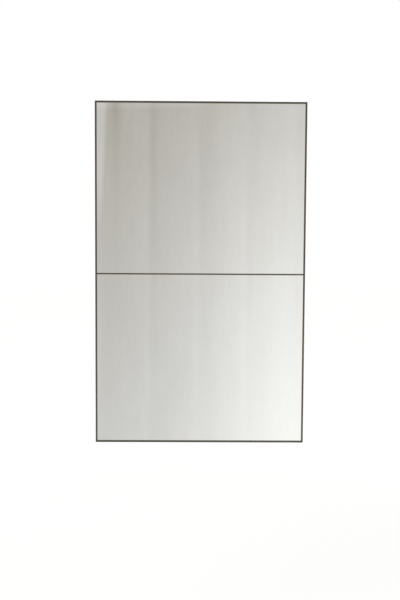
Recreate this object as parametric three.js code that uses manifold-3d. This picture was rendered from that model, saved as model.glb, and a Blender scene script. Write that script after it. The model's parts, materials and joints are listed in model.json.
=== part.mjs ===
// Wall mirror of two equal panes in a slim metal frame, hung on a pair of Z-section cleats.
// Millimetres, +Z up. The wall is the plane y = 0 and the front faces -Y.
// The origin is the centre of the wall cleat's back face.
import * as THREE from "three";
import { mergeVertices } from "three/addons/utils/BufferGeometryUtils.js";
import Module from "manifold-3d";

const wasm = await Module();
wasm.setup();

// Whole mirror
const width = 800;
const height = 1300;
const topZ = 180; // the frame's top edge above the cleat's centre
const bottomZ = topZ - height;
const centreZ = (topZ + bottomZ) / 2;

// Layers, counted forwards from the wall
const wallGap = 2; // from the wall to the frame's back edge
const standOff = 12; // from the wall to the backing board
const boardThick = 9;
const tapeThick = 1;
const glassThick = 4;
const gasketThick = 1;
const lipThick = 3;
const boardBack = -standOff;
const boardFront = boardBack - boardThick;
const glassBack = boardFront - tapeThick;
const glassFront = glassBack - glassThick;
const lipBack = glassFront - gasketThick;
const frameFront = lipBack - lipThick;

// Frame section: a front lip, an outer wall and a flange behind the board
const lipWidth = 6.4;
const wallThick = 1.5;
const flangeWidth = 16;
const flangeThick = 1.6;
const flangeBack = boardBack + flangeThick;
const mitreGap = 0.15; // each bar's share of the hairline at a corner
const edgeGap = 1; // round the board and the glass
const edgeInset = wallThick + edgeGap;

// Middle rail: a narrow head, a web between the panes, a back flange with welded studs
const railHeadHeight = 5.6;
const railHeadThick = 1;
const railWebHeight = 1.6;
const railFlangeHeight = 16;
const railGap = 0.2; // between the web and each pane
const railEndGap = 0.3;
const studRadius = 2;
const studLength = 13.5;
const studSpacing = 300;
const nutRadius = 4;
const nutThick = 3;
const washerRadius = 6;
const washerThick = 1;

// Cushions round the glass
const gasketWidth = 2;
const settingBlockLength = 60;
const settingBlockX = 250;
const tapeWidth = 25;
const tapeLength = 560;
const tapeSpacing = 270;

// Corner plates and the screws through the frame's flange
const plateArm = 80;
const plateWidth = 12;
const plateThick = 2;
const plateInset = 3; // from the frame's outer edge
const plateBack = flangeBack + plateThick;
const screwInset = 9; // from the frame's outer edge
const screwFromCorner = 60;
const screwRadius = 1.6;
const screwHeadRadius = 3.4;
const screwHeadThick = 1.8;
const screwCrownRadius = 2;
const screwPoint = 2; // length of its tapered end
const screwDepth = 7; // into the board

// Z-section cleats: one on the wall, one upside down on the board
const cleatThick = 2.5;
const cleatLength = 620;
const cleatBase = 32;
const cleatLip = 12; // above the step
const cleatPlay = 0.3; // between the two lips
const cleatTrim = 1.5; // the upper lip is this much shorter
const cleatOffset = (standOff + 2 * cleatThick + cleatPlay) / 2;
const bearingZ = cleatBase / 2 + cleatLip;
const cleatScrewSpacing = 140;
const cleatScrewRadius = 2;
const cleatScrewHeadRadius = 4;
const cleatScrewDepth = 8; // into the board
const wallHoleSpacing = 180;
const wallHoleRadius = 2.75;
const wallSinkRadius = 5;
const wallSinkDepth = 1.9;

// Rubber bumpers at the lower corners
const bumperInset = 40;
const bumperBaseRadius = 11;
const bumperTopRadius = 9;
const bumperHoleRadius = 2;
const bumperWellRadius = 4.5;
const bumperWellDepth = 5;

// Fastener holes
const holePlay = 0.15;
const roundSides = 16;
const overcut = 1;

const axisX = new THREE.Vector3(1, 0, 0);
const axisY = new THREE.Vector3(0, 1, 0);
const axisZ = new THREE.Vector3(0, 0, 1);

const group = new THREE.Group();
group.name = "two_pane_wall_mirror";

const finishes = {
  bronze: new THREE.MeshStandardMaterial({ color: 0x656154, roughness: 0.45, metalness: 0.9 }),
  silvered: new THREE.MeshStandardMaterial({ color: 0xe6e6e2, roughness: 0.03, metalness: 1 }),
  fibreboard: new THREE.MeshStandardMaterial({ color: 0x8d6f50, roughness: 0.85, metalness: 0 }),
  zinc: new THREE.MeshStandardMaterial({ color: 0xb9bcbd, roughness: 0.35, metalness: 1 }),
  aluminium: new THREE.MeshStandardMaterial({ color: 0xc7c8c8, roughness: 0.4, metalness: 1 }),
  rubber: new THREE.MeshStandardMaterial({ color: 0x1c1c1c, roughness: 0.9, metalness: 0 }),
  foam: new THREE.MeshStandardMaterial({ color: 0xd9d9d4, roughness: 0.95, metalness: 0 }),
};

function addMesh(name, geometry, finish, parent = group) {
  const mesh = new THREE.Mesh(geometry, finishes[finish].clone());
  mesh.name = name;
  parent.add(mesh);
  return mesh;
}

// Geometry helpers

function toSolid(geometry) {
  const bare = geometry.clone();
  bare.deleteAttribute("normal");
  bare.deleteAttribute("uv");
  const merged = mergeVertices(bare);
  const vertProperties = merged.getAttribute("position").array;
  const triVerts = Uint32Array.from(merged.getIndex().array);
  return new wasm.Manifold(new wasm.Mesh({ numProp: 3, vertProperties, triVerts }));
}

function toGeometry(solid) {
  const mesh = solid.getMesh();
  const geometry = new THREE.BufferGeometry();
  geometry.setAttribute("position", new THREE.BufferAttribute(mesh.vertProperties, 3));
  geometry.setIndex(new THREE.BufferAttribute(mesh.triVerts, 1));
  return geometry;
}

function cutAway(geometry, cutters) {
  let solid = toSolid(geometry);
  for (const cutter of cutters) {
    solid = solid.subtract(toSolid(cutter));
  }
  return toGeometry(solid);
}

function extrude(outline, depth) {
  const shape = new THREE.Shape(outline.map(([a, b]) => new THREE.Vector2(a, b)));
  return new THREE.ExtrudeGeometry(shape, { depth, bevelEnabled: false });
}

// A straight bar along X whose section is an outline of [y, z] points
function barAlongX(outline, length) {
  const turned = new THREE.Matrix4().makeBasis(axisY, axisZ, axisX);
  return extrude(outline, length).applyMatrix4(turned).translate(-length / 2, 0, 0);
}

// A flat plate between two depths whose face is an outline of [x, z] points
function plateAlongY(outline, backY, frontY) {
  const turned = new THREE.Matrix4().makeBasis(axisX, axisZ, axisY.clone().negate());
  return extrude(outline, backY - frontY).applyMatrix4(turned).translate(0, backY, 0);
}

function block(sizeX, sizeZ, backY, frontY, x, z) {
  const geometry = new THREE.BoxGeometry(sizeX, backY - frontY, sizeZ);
  return geometry.translate(x, (backY + frontY) / 2, z);
}

// A round rod, or a cone where the two radii differ
function rod(x, z, backY, frontY, backRadius, frontRadius = backRadius) {
  const geometry = new THREE.CylinderGeometry(backRadius, frontRadius, backY - frontY, roundSides);
  return geometry.translate(x, (backY + frontY) / 2, z);
}

// A solid of revolution about a line along Y; the profile is [radius, y] points with y rising
function lathed(profile, x, z, sides = roundSides) {
  const points = profile.map(([radius, y]) => new THREE.Vector2(radius, y));
  return new THREE.LatheGeometry(points, sides).translate(x, 0, z);
}

// Four sides of the frame. Each has its own X along the bar and Z towards the middle of the mirror.

const sides = {
  top: { length: width, turn: Math.PI, x: 0, z: topZ },
  bottom: { length: width, turn: 0, x: 0, z: bottomZ },
  left: { length: height, turn: Math.PI / 2, x: -width / 2, z: centreZ },
  right: { length: height, turn: -Math.PI / 2, x: width / 2, z: centreZ },
};

function sideGroup(side) {
  const placed = new THREE.Group();
  placed.rotation.y = side.turn;
  placed.position.set(side.x, 0, side.z);
  group.add(placed);
  return placed;
}

function sidePoint(side, along, inward) {
  const point = new THREE.Vector3(along, 0, inward).applyAxisAngle(axisY, side.turn);
  return { x: point.x + side.x, z: point.z + side.z };
}

// Screw places along a side: one through each corner plate, and evenly spaced ones between
function screwPlaces(side) {
  const reach = side.length / 2 - screwFromCorner;
  const spans = side.length > width ? 3 : 2;
  const places = [];
  for (let i = 0; i <= spans; i++) {
    places.push({
      along: -reach + (2 * reach * i) / spans,
      throughPlate: i === 0 || i === spans,
    });
  }
  return places;
}

function addFrameBar(name, side) {
  const section = [
    [frameFront, 0],
    [-wallGap, 0],
    [-wallGap, wallThick],
    [flangeBack, wallThick],
    [flangeBack, flangeWidth],
    [boardBack, flangeWidth],
    [boardBack, wallThick],
    [lipBack, wallThick],
    [lipBack, lipWidth],
    [frameFront, lipWidth],
  ];
  const reach = side.length / 2 - mitreGap;
  const mitred = [
    [-reach, 0],
    [reach, 0],
    [reach - flangeWidth, flangeWidth],
    [-reach + flangeWidth, flangeWidth],
  ];
  const envelope = plateAlongY(mitred, 0, frameFront - overcut);
  const holes = screwPlaces(side).map(({ along }) =>
    rod(along, screwInset, flangeBack + overcut, boardBack - overcut, screwRadius + holePlay),
  );
  const bar = toGeometry(toSolid(barAlongX(section, side.length)).intersect(toSolid(envelope)));
  addMesh(name, cutAway(bar, holes), "bronze", sideGroup(side));
}

function addFrame() {
  for (const [place, side] of Object.entries(sides)) {
    addFrameBar("frame_" + place, side);
  }
}

// Glazing gaskets: strips between the lip and the glass. The upright ones run between the other two.
function addGaskets() {
  const inset = lipWidth - gasketWidth;
  for (const [place, side] of Object.entries(sides)) {
    const upright = side.length > width;
    const length = side.length - 2 * (upright ? lipWidth + railEndGap : inset);
    const strip = block(length, gasketWidth, glassFront, lipBack, 0, inset + gasketWidth / 2);
    addMesh("gasket_" + place, strip, "rubber", sideGroup(side));
  }
}

// Middle rail

function studPlaces() {
  return [-studSpacing, 0, studSpacing];
}

function addMiddleRail() {
  const headBack = glassFront;
  const headFront = glassFront - railHeadThick;
  const half = { head: railHeadHeight / 2, web: railWebHeight / 2, flange: railFlangeHeight / 2 };
  const section = [
    [headFront, -half.head],
    [headBack, -half.head],
    [headBack, -half.web],
    [glassBack, -half.web],
    [glassBack, -half.flange],
    [boardFront, -half.flange],
    [boardFront, half.flange],
    [glassBack, half.flange],
    [glassBack, half.web],
    [headBack, half.web],
    [headBack, half.head],
    [headFront, half.head],
  ];
  const length = width - 2 * (lipWidth + railEndGap);
  let rail = toSolid(barAlongX(section, length));
  for (const x of studPlaces()) {
    const root = boardFront - tapeThick / 2; // half way into the flange
    rail = rail.add(toSolid(rod(x, 0, boardFront + studLength, root, studRadius)));
  }
  addMesh("middle_rail", toGeometry(rail).translate(0, 0, centreZ), "bronze");
}

function addRailNuts() {
  const hexSides = 6;
  studPlaces().forEach((x, i) => {
    const washerBack = boardBack + washerThick;
    const bore = rod(x, centreZ, 0, boardBack - overcut, studRadius + holePlay);
    const washer = rod(x, centreZ, washerBack, boardBack, washerRadius);
    const nut = new THREE.CylinderGeometry(nutRadius, nutRadius, nutThick, hexSides);
    nut.translate(x, washerBack + nutThick / 2, centreZ);
    addMesh("rail_washer_" + (i + 1), cutAway(washer, [bore]), "zinc");
    addMesh("rail_nut_" + (i + 1), cutAway(nut, [bore]), "zinc");
  });
}

// Panes, the tape that bonds them and the blocks that carry the lower one

const paneWidth = width - 2 * edgeInset;
const paneHeight = height / 2 - edgeInset - railWebHeight / 2 - railGap;
const panes = {
  upper: topZ - edgeInset - paneHeight / 2,
  lower: bottomZ + edgeInset + paneHeight / 2,
};

function addPanes() {
  for (const [place, z] of Object.entries(panes)) {
    addMesh(place + "_mirror", block(paneWidth, paneHeight, glassBack, glassFront, 0, z), "silvered");
  }
}

function addTapes() {
  const columns = { left: -tapeSpacing, middle: 0, right: tapeSpacing };
  for (const [row, z] of Object.entries(panes)) {
    for (const [column, x] of Object.entries(columns)) {
      const strip = block(tapeWidth, tapeLength, boardFront, glassBack, x, z);
      addMesh("tape_" + row + "_" + column, strip, "foam");
    }
  }
}

function addSettingBlocks() {
  const z = bottomZ + wallThick + edgeGap / 2;
  for (const [place, x] of Object.entries({ left: -settingBlockX, right: settingBlockX })) {
    const pad = block(settingBlockLength, edgeGap, glassBack, glassFront, x, z);
    addMesh("setting_block_" + place, pad, "rubber");
  }
}

// Backing board

function bumperPlaces() {
  const x = width / 2 - bumperInset;
  const z = bottomZ + bumperInset;
  return { left: { x: -x, z }, right: { x, z } };
}

function cleatScrewPlaces() {
  return [-2, -1, 0, 1, 2].map((step) => step * cleatScrewSpacing);
}

const frameCleatScrewZ = bearingZ + cleatBase / 2;

function addBoard() {
  const board = block(
    width - 2 * edgeInset,
    height - 2 * edgeInset,
    boardBack,
    boardFront,
    0,
    centreZ,
  );
  const blind = (x, z, depth, radius) =>
    rod(x, z, boardBack + overcut, boardBack - depth - overcut, radius + holePlay);
  const holes = [];
  for (const side of Object.values(sides)) {
    for (const { along } of screwPlaces(side)) {
      const { x, z } = sidePoint(side, along, screwInset);
      holes.push(blind(x, z, screwDepth, screwRadius));
    }
  }
  for (const x of cleatScrewPlaces()) {
    holes.push(blind(x, frameCleatScrewZ, cleatScrewDepth - overcut, cleatScrewRadius));
  }
  for (const { x, z } of Object.values(bumperPlaces())) {
    holes.push(blind(x, z, screwDepth, screwRadius));
  }
  for (const x of studPlaces()) {
    holes.push(
      rod(x, centreZ, boardBack + overcut, boardFront - overcut, studRadius + holePlay),
    );
  }
  addMesh("backing_board", cutAway(board, holes), "fibreboard");
}

// Corner plates: an L across each mitre, on the back of the flange

function addCornerPlates() {
  const inner = plateInset + plateWidth;
  const outline = [
    [plateInset, plateInset],
    [plateArm, plateInset],
    [plateArm, inner],
    [inner, inner],
    [inner, plateArm],
    [plateInset, plateArm],
  ];
  const holes = [
    [screwFromCorner, screwInset],
    [screwInset, screwFromCorner],
  ].map(([x, z]) => rod(x, z, 0, flangeBack - overcut, screwRadius + holePlay));
  const corners = {
    bottom_left: { turn: 0, x: -width / 2, z: bottomZ },
    top_left: { turn: Math.PI / 2, x: -width / 2, z: topZ },
    top_right: { turn: Math.PI, x: width / 2, z: topZ },
    bottom_right: { turn: -Math.PI / 2, x: width / 2, z: bottomZ },
  };
  for (const [place, corner] of Object.entries(corners)) {
    const plate = cutAway(plateAlongY(outline, plateBack, flangeBack), holes);
    addMesh("corner_plate_" + place, plate, "zinc", sideGroup(corner));
  }
}

// A domed screw seated at seatY, with its point in the board
function panScrew(x, z, seatY, tipY) {
  return lathed(
    [
      [0, tipY],
      [screwRadius, tipY + screwPoint],
      [screwRadius, seatY],
      [screwHeadRadius, seatY],
      [screwHeadRadius, seatY + screwHeadThick / 2],
      [screwCrownRadius, seatY + screwHeadThick],
      [0, seatY + screwHeadThick],
    ],
    x,
    z,
  );
}

function addFrameScrews() {
  const tipY = boardBack - screwDepth;
  for (const [place, side] of Object.entries(sides)) {
    screwPlaces(side).forEach(({ along, throughPlate }, i) => {
      const { x, z } = sidePoint(side, along, screwInset);
      const seatY = throughPlate ? plateBack : flangeBack;
      addMesh("screw_" + place + "_" + (i + 1), panScrew(x, z, seatY, tipY), "zinc");
    });
  }
}

// Cleats

// Outline of [y, z] points for a Z section whose base is on y = 0 and whose lip points up
function zSection(lipHeight) {
  const stepTop = cleatBase / 2;
  const stepBottom = stepTop - cleatThick;
  const lipFront = -cleatOffset;
  return [
    [0, -cleatBase / 2],
    [0, stepTop],
    [lipFront + cleatThick, stepTop],
    [lipFront + cleatThick, stepTop + lipHeight],
    [lipFront, stepTop + lipHeight],
    [lipFront, stepBottom],
    [-cleatThick, stepBottom],
    [-cleatThick, -cleatBase / 2],
  ];
}

function addWallCleat() {
  const holes = [];
  for (const step of [-1.5, -0.5, 0.5, 1.5]) {
    const x = step * wallHoleSpacing;
    holes.push(rod(x, 0, overcut, -cleatThick - overcut, wallHoleRadius));
    holes.push(rod(x, 0, wallSinkDepth - cleatThick, -cleatThick, wallHoleRadius, wallSinkRadius));
  }
  addMesh("wall_cleat", cutAway(barAlongX(zSection(cleatLip), cleatLength), holes), "aluminium");
}

// The same section turned over, base against the board and lip hanging behind the wall cleat's
function addFrameCleat() {
  const turnOver = ([y, z]) => [boardBack - y, bearingZ + cleatBase / 2 - z];
  const outline = zSection(cleatLip - cleatTrim).map(turnOver);
  const seat = boardBack + cleatThick;
  const holes = [];
  for (const x of cleatScrewPlaces()) {
    holes.push(
      rod(x, frameCleatScrewZ, seat + overcut, boardBack - overcut, cleatScrewRadius + holePlay),
    );
    holes.push(sunkHead(x, frameCleatScrewZ, seat, holePlay));
  }
  addMesh("frame_cleat", cutAway(barAlongX(outline, cleatLength), holes), "aluminium");
}

// The cone of a countersunk head, flush with the cleat's back
function sunkHead(x, z, seat, play) {
  const coneFront = seat - (cleatScrewHeadRadius - cleatScrewRadius);
  return rod(x, z, seat, coneFront, cleatScrewHeadRadius + play, cleatScrewRadius + play);
}

function addCleatScrews() {
  const seat = boardBack + cleatThick;
  const coneFront = seat - (cleatScrewHeadRadius - cleatScrewRadius);
  const tipY = boardBack - cleatScrewDepth;
  cleatScrewPlaces().forEach((x, i) => {
    const profile = [
      [0, tipY],
      [cleatScrewRadius, tipY + screwPoint],
      [cleatScrewRadius, coneFront],
      [cleatScrewHeadRadius, seat],
      [0, seat],
    ];
    addMesh("cleat_screw_" + (i + 1), lathed(profile, x, frameCleatScrewZ), "zinc");
  });
}

// Bumpers

function addBumpers() {
  const wellFloor = -bumperWellDepth;
  for (const [place, { x, z }] of Object.entries(bumperPlaces())) {
    const body = rod(x, z, 0, boardBack, bumperTopRadius, bumperBaseRadius);
    const bore = rod(x, z, overcut, boardBack - overcut, bumperHoleRadius);
    const well = rod(x, z, overcut, wellFloor, bumperWellRadius);
    addMesh("bumper_" + place, cutAway(body, [bore, well]), "rubber");
    const screw = panScrew(x, z, wellFloor, boardBack - screwDepth);
    addMesh("bumper_screw_" + place, screw, "zinc");
  }
}

addFrame();
addGaskets();
addMiddleRail();
addRailNuts();
addPanes();
addTapes();
addSettingBlocks();
addBoard();
addCornerPlates();
addFrameScrews();
addWallCleat();
addFrameCleat();
addCleatScrews();
addBumpers();

export default group;
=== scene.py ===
import json
import math
import bmesh
import bpy
from mathutils import Matrix, Vector

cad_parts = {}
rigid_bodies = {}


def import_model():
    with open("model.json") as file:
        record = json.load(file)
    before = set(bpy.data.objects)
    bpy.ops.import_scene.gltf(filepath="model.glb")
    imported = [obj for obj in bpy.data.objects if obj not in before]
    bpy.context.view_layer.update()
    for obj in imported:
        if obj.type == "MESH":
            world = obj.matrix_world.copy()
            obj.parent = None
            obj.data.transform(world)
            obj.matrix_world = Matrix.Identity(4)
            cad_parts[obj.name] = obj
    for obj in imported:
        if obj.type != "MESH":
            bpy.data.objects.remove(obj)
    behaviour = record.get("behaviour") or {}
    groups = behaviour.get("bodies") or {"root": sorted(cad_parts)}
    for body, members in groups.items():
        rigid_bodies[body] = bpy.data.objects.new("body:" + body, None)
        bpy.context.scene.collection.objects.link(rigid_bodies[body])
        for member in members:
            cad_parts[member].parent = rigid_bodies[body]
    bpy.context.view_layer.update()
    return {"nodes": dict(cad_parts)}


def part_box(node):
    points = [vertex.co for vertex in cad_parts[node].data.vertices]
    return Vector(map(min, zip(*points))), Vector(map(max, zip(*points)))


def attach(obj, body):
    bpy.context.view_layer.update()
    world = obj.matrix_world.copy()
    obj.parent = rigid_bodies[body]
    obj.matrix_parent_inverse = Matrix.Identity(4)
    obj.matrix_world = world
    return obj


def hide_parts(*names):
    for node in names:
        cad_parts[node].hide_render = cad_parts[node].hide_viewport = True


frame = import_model()
nodes = frame["nodes"]
mm = 0.001
weld = 0.01 * mm  # points nearer to each other than this become one
print("frame loaded:", len(nodes), "nodes")


def addPiece(name, mesh, material, replaced, body="mirror"):
    piece = bpy.data.objects.new(name, mesh)
    bpy.context.scene.collection.objects.link(piece)
    mesh.materials.clear()
    mesh.materials.append(material)
    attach(piece, body)
    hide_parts(*replaced)
    return piece


def toMesh(name, bm, sharpAngle=32):
    bmesh.ops.recalc_face_normals(bm, faces=bm.faces)
    for face in bm.faces:
        face.smooth = True
    for edge in bm.edges:
        edge.smooth = edge.calc_face_angle(math.pi) < math.radians(sharpAngle)
    mesh = bpy.data.meshes.new(name)
    bm.to_mesh(mesh)
    bm.free()
    return mesh


# Rounds the corners of a closed outline. An arc reaches as far as the radius from its corner, but
# over no more than mostOfSide, and has a support point beside it at supportAt times its reach. Every
# point is (first, second, wear), and wear is 1 on an outer rounding, where a finish rubs off.
def roundOutline(corners, radius, steps=4, mostOfSide=0.3, supportAt=1.5):
    points = []
    count = len(corners)
    area = sum(corners[i - 1][0] * corners[i][1] - corners[i][0] * corners[i - 1][1] for i in range(count))
    for i, corner in enumerate(corners):
        here = Vector(corner)
        back = Vector(corners[i - 1]) - here
        ahead = Vector(corners[(i + 1) % count]) - here
        turn = back.y * ahead.x - back.x * ahead.y
        worn = 1.0 if turn * area > 0 else 0.0
        reach = min(radius, mostOfSide * back.length, mostOfSide * ahead.length)
        start = here + back.normalized() * reach
        end = here + ahead.normalized() * reach
        points.append((*(here + back.normalized() * reach * supportAt), 0.0))
        for step in range(steps + 1):
            t = step / steps
            points.append((*(start * (1 - t) ** 2 + here * 2 * t * (1 - t) + end * t * t), worn))
        points.append((*(here + ahead.normalized() * reach * supportAt), 0.0))
    return points


# Sweeps an outline of (depth, inward, wear) along X and cuts each end at its mitre: 1 is 45
# degrees, 0 is square. UVs are in metres, U along the bar and V round its section.
def sweepBar(outline, length, mitre=0.0):
    bm = bmesh.new()
    wear = bm.verts.layers.float.new("edgeWear")
    uv = bm.loops.layers.uv.new("alongBar")
    rings = []
    for side in (-1, 1):
        ring = []
        for depth, inward, _ in outline:
            ring.append(bm.verts.new((side * (length / 2 - mitre * inward), depth, inward)))
        for vert, point in zip(ring, outline):
            vert[wear] = point[2]
        rings.append(ring)
    left, right = rings
    count = len(outline)
    around = 0.0
    for i in range(count):
        j = (i + 1) % count
        further = around + (left[j].co.yz - left[i].co.yz).length
        face = bm.faces.new((left[i], left[j], right[j], right[i]))
        for loop, v in zip(face.loops, (around, further, further, around)):
            loop[uv].uv = (loop.vert.co.x, v)
        around = further
    for ring in rings:
        for loop in bm.faces.new(ring).loops:
            loop[uv].uv = loop.vert.co.yz
    return bm


usual = (0.3, 0.7)  # where nearly all values of a noise lie


# A finish being put together: each method adds its nodes and returns what they give.
class Finish:
    def __init__(self, name):
        self.material = bpy.data.materials.new(name)
        self.material.use_nodes = True
        self.tree = self.material.node_tree
        self.tree.nodes.clear()
        self.output = self.node("OutputMaterial")

    def node(self, kind, **settings):
        made = self.tree.nodes.new("ShaderNode" + kind)
        for key, value in settings.items():
            setattr(made, key, value)
        return made

    def feed(self, socket, value):
        if isinstance(value, bpy.types.NodeSocket):
            self.tree.links.new(value, socket)
        elif isinstance(value, tuple) and len(value) == 3 and socket.type == "RGBA":
            socket.default_value = (*value, 1.0)
        else:
            socket.default_value = value

    def coords(self, stretch=(1, 1, 1), uvMap=None):
        source = self.node("UVMap", uv_map=uvMap) if uvMap else self.node("TexCoord")
        mapping = self.node("Mapping")
        mapping.inputs["Scale"].default_value = stretch
        self.feed(mapping.inputs["Vector"], source.outputs["UV" if uvMap else "Object"])
        return mapping.outputs[0]

    # A noise on Object coordinates, or on a UV map of the piece's own
    def pattern(self, perMetre, stretch=(1, 1, 1), detail=3.0, roughness=0.6, uvMap=None):
        made = self.node("TexNoise")
        values = {"Scale": perMetre, "Detail": detail, "Roughness": roughness}
        values["Vector"] = self.coords(stretch, uvMap)
        for key, value in values.items():
            self.feed(made.inputs[key], value)
        return made.outputs["Fac"]

    def mix(self, factor, first, second):
        made = self.node("Mix", data_type="RGBA")
        for place, value in ((0, factor), (6, first), (7, second)):  # its factor and two colours
            self.feed(made.inputs[place], value)
        return made.outputs[2]

    def math(self, operation, *values):
        made = self.node("Math", operation=operation)
        for socket, value in zip(made.inputs, values):
            self.feed(socket, value)
        return made.outputs[0]

    def span(self, value, low, high, newLow=0.0, newHigh=1.0, smooth=False):
        made = self.node("MapRange", interpolation_type="SMOOTHSTEP" if smooth else "LINEAR")
        names = ("Value", "From Min", "From Max", "To Min", "To Max")
        for key, number in zip(names, (value, low, high, newLow, newHigh)):
            self.feed(made.inputs[key], number)
        return made.outputs["Result"]

    # Lays a colour over another where a pattern rises from start to full
    def layer(self, under, pattern, colour, start, full, share=1.0):
        return self.mix(self.span(pattern, start, full, 0.0, share), under, colour)

    # 1 at the centre, falling away softly over the spread in each direction
    def spot(self, places, centres, spreads):
        total = 0.0
        for place, centre, spread in zip(places, centres, spreads):
            offset = self.math("DIVIDE", self.math("SUBTRACT", place, centre), spread)
            total = self.math("ADD", total, self.math("MULTIPLY", offset, offset))
        return self.math("EXPONENT", self.math("MULTIPLY", total, -1.0))

    # Ends a finish: colour, roughness that follows a grain, and relief from it or from height
    def dress(self, metallic, colour, grain, roughness, relief, height=None, strength=0.5):
        shader = self.node("BsdfPrincipled")
        bump = self.node("Bump")
        for key, value in (("Strength", strength), ("Distance", relief), ("Height", height or grain)):
            self.feed(bump.inputs[key], value)
        values = {
            "Metallic": metallic,
            "Base Color": colour,
            "Roughness": self.span(grain, *usual, *roughness),
            "Normal": bump.outputs[0],
        }
        for key, value in values.items():
            self.feed(shader.inputs[key], value)
        self.feed(self.output.inputs["Surface"], shader.outputs[0])
        return self.material


# Dark bronze patina, brushed along the bar and rubbed back a little on its edges
def bronzePatina():
    look = {
        "cloud": {"perMetre": 22, "stretch": (1, 3, 1), "detail": 5.0},
        "brush": {"perMetre": 2600, "stretch": (0.012, 1, 1), "detail": 2.0, "roughness": 0.5},
        "speck": {"perMetre": 420},
        "deep": (0.130, 0.117, 0.089),
        "warm": {"colour": (0.172, 0.154, 0.119), "start": 0.3, "full": 0.7},
        "pitted": {"colour": (0.090, 0.079, 0.059), "start": 0.56, "full": 0.72, "share": 0.7},
        "rubbed": {"colour": (0.30, 0.25, 0.18), "start": 0.0, "full": 1.0, "share": 0.5},
        "rubbedWhere": (0.38, 0.62),
        "metallic": 0.92,
        "roughness": (0.3, 0.48),
        "speckRelief": 0.5,
        "relief": 0.03 * mm,
    }
    f = Finish("bronze_patina")
    cloud, brush, speck = (f.pattern(**look[key], uvMap="alongBar") for key in ("cloud", "brush", "speck"))
    edge = f.node("Attribute", attribute_name="edgeWear").outputs["Fac"]
    worn = f.math("MULTIPLY", edge, f.span(speck, *look["rubbedWhere"]))
    colour = f.layer(look["deep"], cloud, **look["warm"])
    colour = f.layer(colour, speck, **look["pitted"])
    colour = f.layer(colour, worn, **look["rubbed"])
    height = f.math("MULTIPLY_ADD", speck, look["speckRelief"], brush)
    return f.dress(look["metallic"], colour, brush, look["roughness"], look["relief"], height)


# Silvered float glass: almost perfect, with the faintest wave and a trace of haze
def silveredGlass():
    look = {
        "cloud": {"perMetre": 5, "roughness": 0.5},
        "wave": {"perMetre": 2.2, "detail": 1.0, "roughness": 0.4},
        "silver": (0.930, 0.938, 0.930),
        "haze": {"colour": (0.86, 0.88, 0.87), "start": 0.3, "full": 0.7, "share": 0.1},
        "roughness": (0.008, 0.02),
        "relief": 0.1 * mm,
        "strength": 0.3,
    }
    f = Finish("silvered_glass")
    cloud = f.pattern(**look["cloud"])
    colour = f.layer(look["silver"], cloud, **look["haze"])
    wave = f.pattern(**look["wave"])
    return f.dress(1.0, colour, cloud, look["roughness"], look["relief"], wave, look["strength"])


# Fibreboard: felted fibres with darker flecks and a faint sanding direction
def fibreBoard():
    look = {
        "cloud": {"perMetre": 6, "detail": 4.0},
        "felt": {"perMetre": 900, "stretch": (1, 1, 0.55), "detail": 4.0, "roughness": 0.7},
        "fibre": {"perMetre": 820, "stretch": (1, 1, 0.2), "detail": 2.0, "roughness": 0.5},
        "light": (0.44, 0.30, 0.18),
        "shaded": {"colour": (0.34, 0.22, 0.125), "start": 0.1, "full": 0.9},
        "felted": {"colour": (0.31, 0.20, 0.11), "start": 0.35, "full": 0.7, "share": 0.45},
        "flecked": {"colour": (0.20, 0.12, 0.062), "start": 0.6, "full": 0.74, "share": 0.45},
        "roughness": (0.74, 0.9),
        "relief": 0.12 * mm,
    }
    f = Finish("fibre_board")
    cloud, felt, fibres = (f.pattern(**look[key]) for key in ("cloud", "felt", "fibre"))
    colour = f.layer(look["light"], cloud, **look["shaded"])
    colour = f.layer(colour, felt, **look["felted"])
    colour = f.layer(colour, fibres, **look["flecked"])
    return f.dress(0.0, colour, felt, look["roughness"], look["relief"])


# Zinc plating: cool bright steel with a yellowish bloom and fine scuffs
def zincPlate():
    look = {
        "cloud": {"perMetre": 70},
        "scuff": {"perMetre": 1500, "stretch": (1, 1, 0.08)},
        "cool": (0.60, 0.63, 0.66),
        "bloom": {"colour": (0.64, 0.60, 0.48), "start": 0.42, "full": 0.7, "share": 0.6},
        "dull": {"colour": (0.36, 0.38, 0.40), "start": 0.55, "full": 0.75, "share": 0.5},
        "roughness": (0.22, 0.42),
        "relief": 0.02 * mm,
    }
    f = Finish("zinc_plate")
    cloud, scuff = (f.pattern(**look[key]) for key in ("cloud", "scuff"))
    colour = f.layer(look["cool"], cloud, **look["bloom"])
    colour = f.layer(colour, scuff, **look["dull"])
    return f.dress(1.0, colour, scuff, look["roughness"], look["relief"])


# Mill-finish aluminium with the die lines of the extrusion along X
def drawnAluminium():
    look = {
        "line": {"perMetre": 1800, "stretch": (0.006, 1, 1)},
        "cloud": {"perMetre": 28, "detail": 4.0},
        "bright": (0.70, 0.71, 0.72),
        "lined": {"colour": (0.47, 0.48, 0.49), "start": 0.35, "full": 0.7},
        "clouded": {"colour": (0.47, 0.48, 0.49), "start": 0.5, "full": 0.75, "share": 0.35},
        "roughness": (0.26, 0.44),
        "relief": 0.03 * mm,
    }
    f = Finish("drawn_aluminium")
    line, cloud = (f.pattern(**look[key]) for key in ("line", "cloud"))
    colour = f.layer(look["bright"], line, **look["lined"])
    colour = f.layer(colour, cloud, **look["clouded"])
    return f.dress(1.0, colour, line, look["roughness"], look["relief"])


def blackRubber():
    look = {
        "grain": {"perMetre": 1600},
        "cloud": {"perMetre": 90, "detail": 4.0},
        "black": (0.014, 0.014, 0.014),
        "dust": {"colour": (0.055, 0.052, 0.048), "start": 0.5, "full": 0.8, "share": 0.5},
        "roughness": (0.6, 0.82),
        "relief": 0.06 * mm,
    }
    f = Finish("black_rubber")
    grain, cloud = (f.pattern(**look[key]) for key in ("grain", "cloud"))
    colour = f.layer(look["black"], cloud, **look["dust"])
    return f.dress(0.0, colour, grain, look["roughness"], look["relief"])


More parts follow.
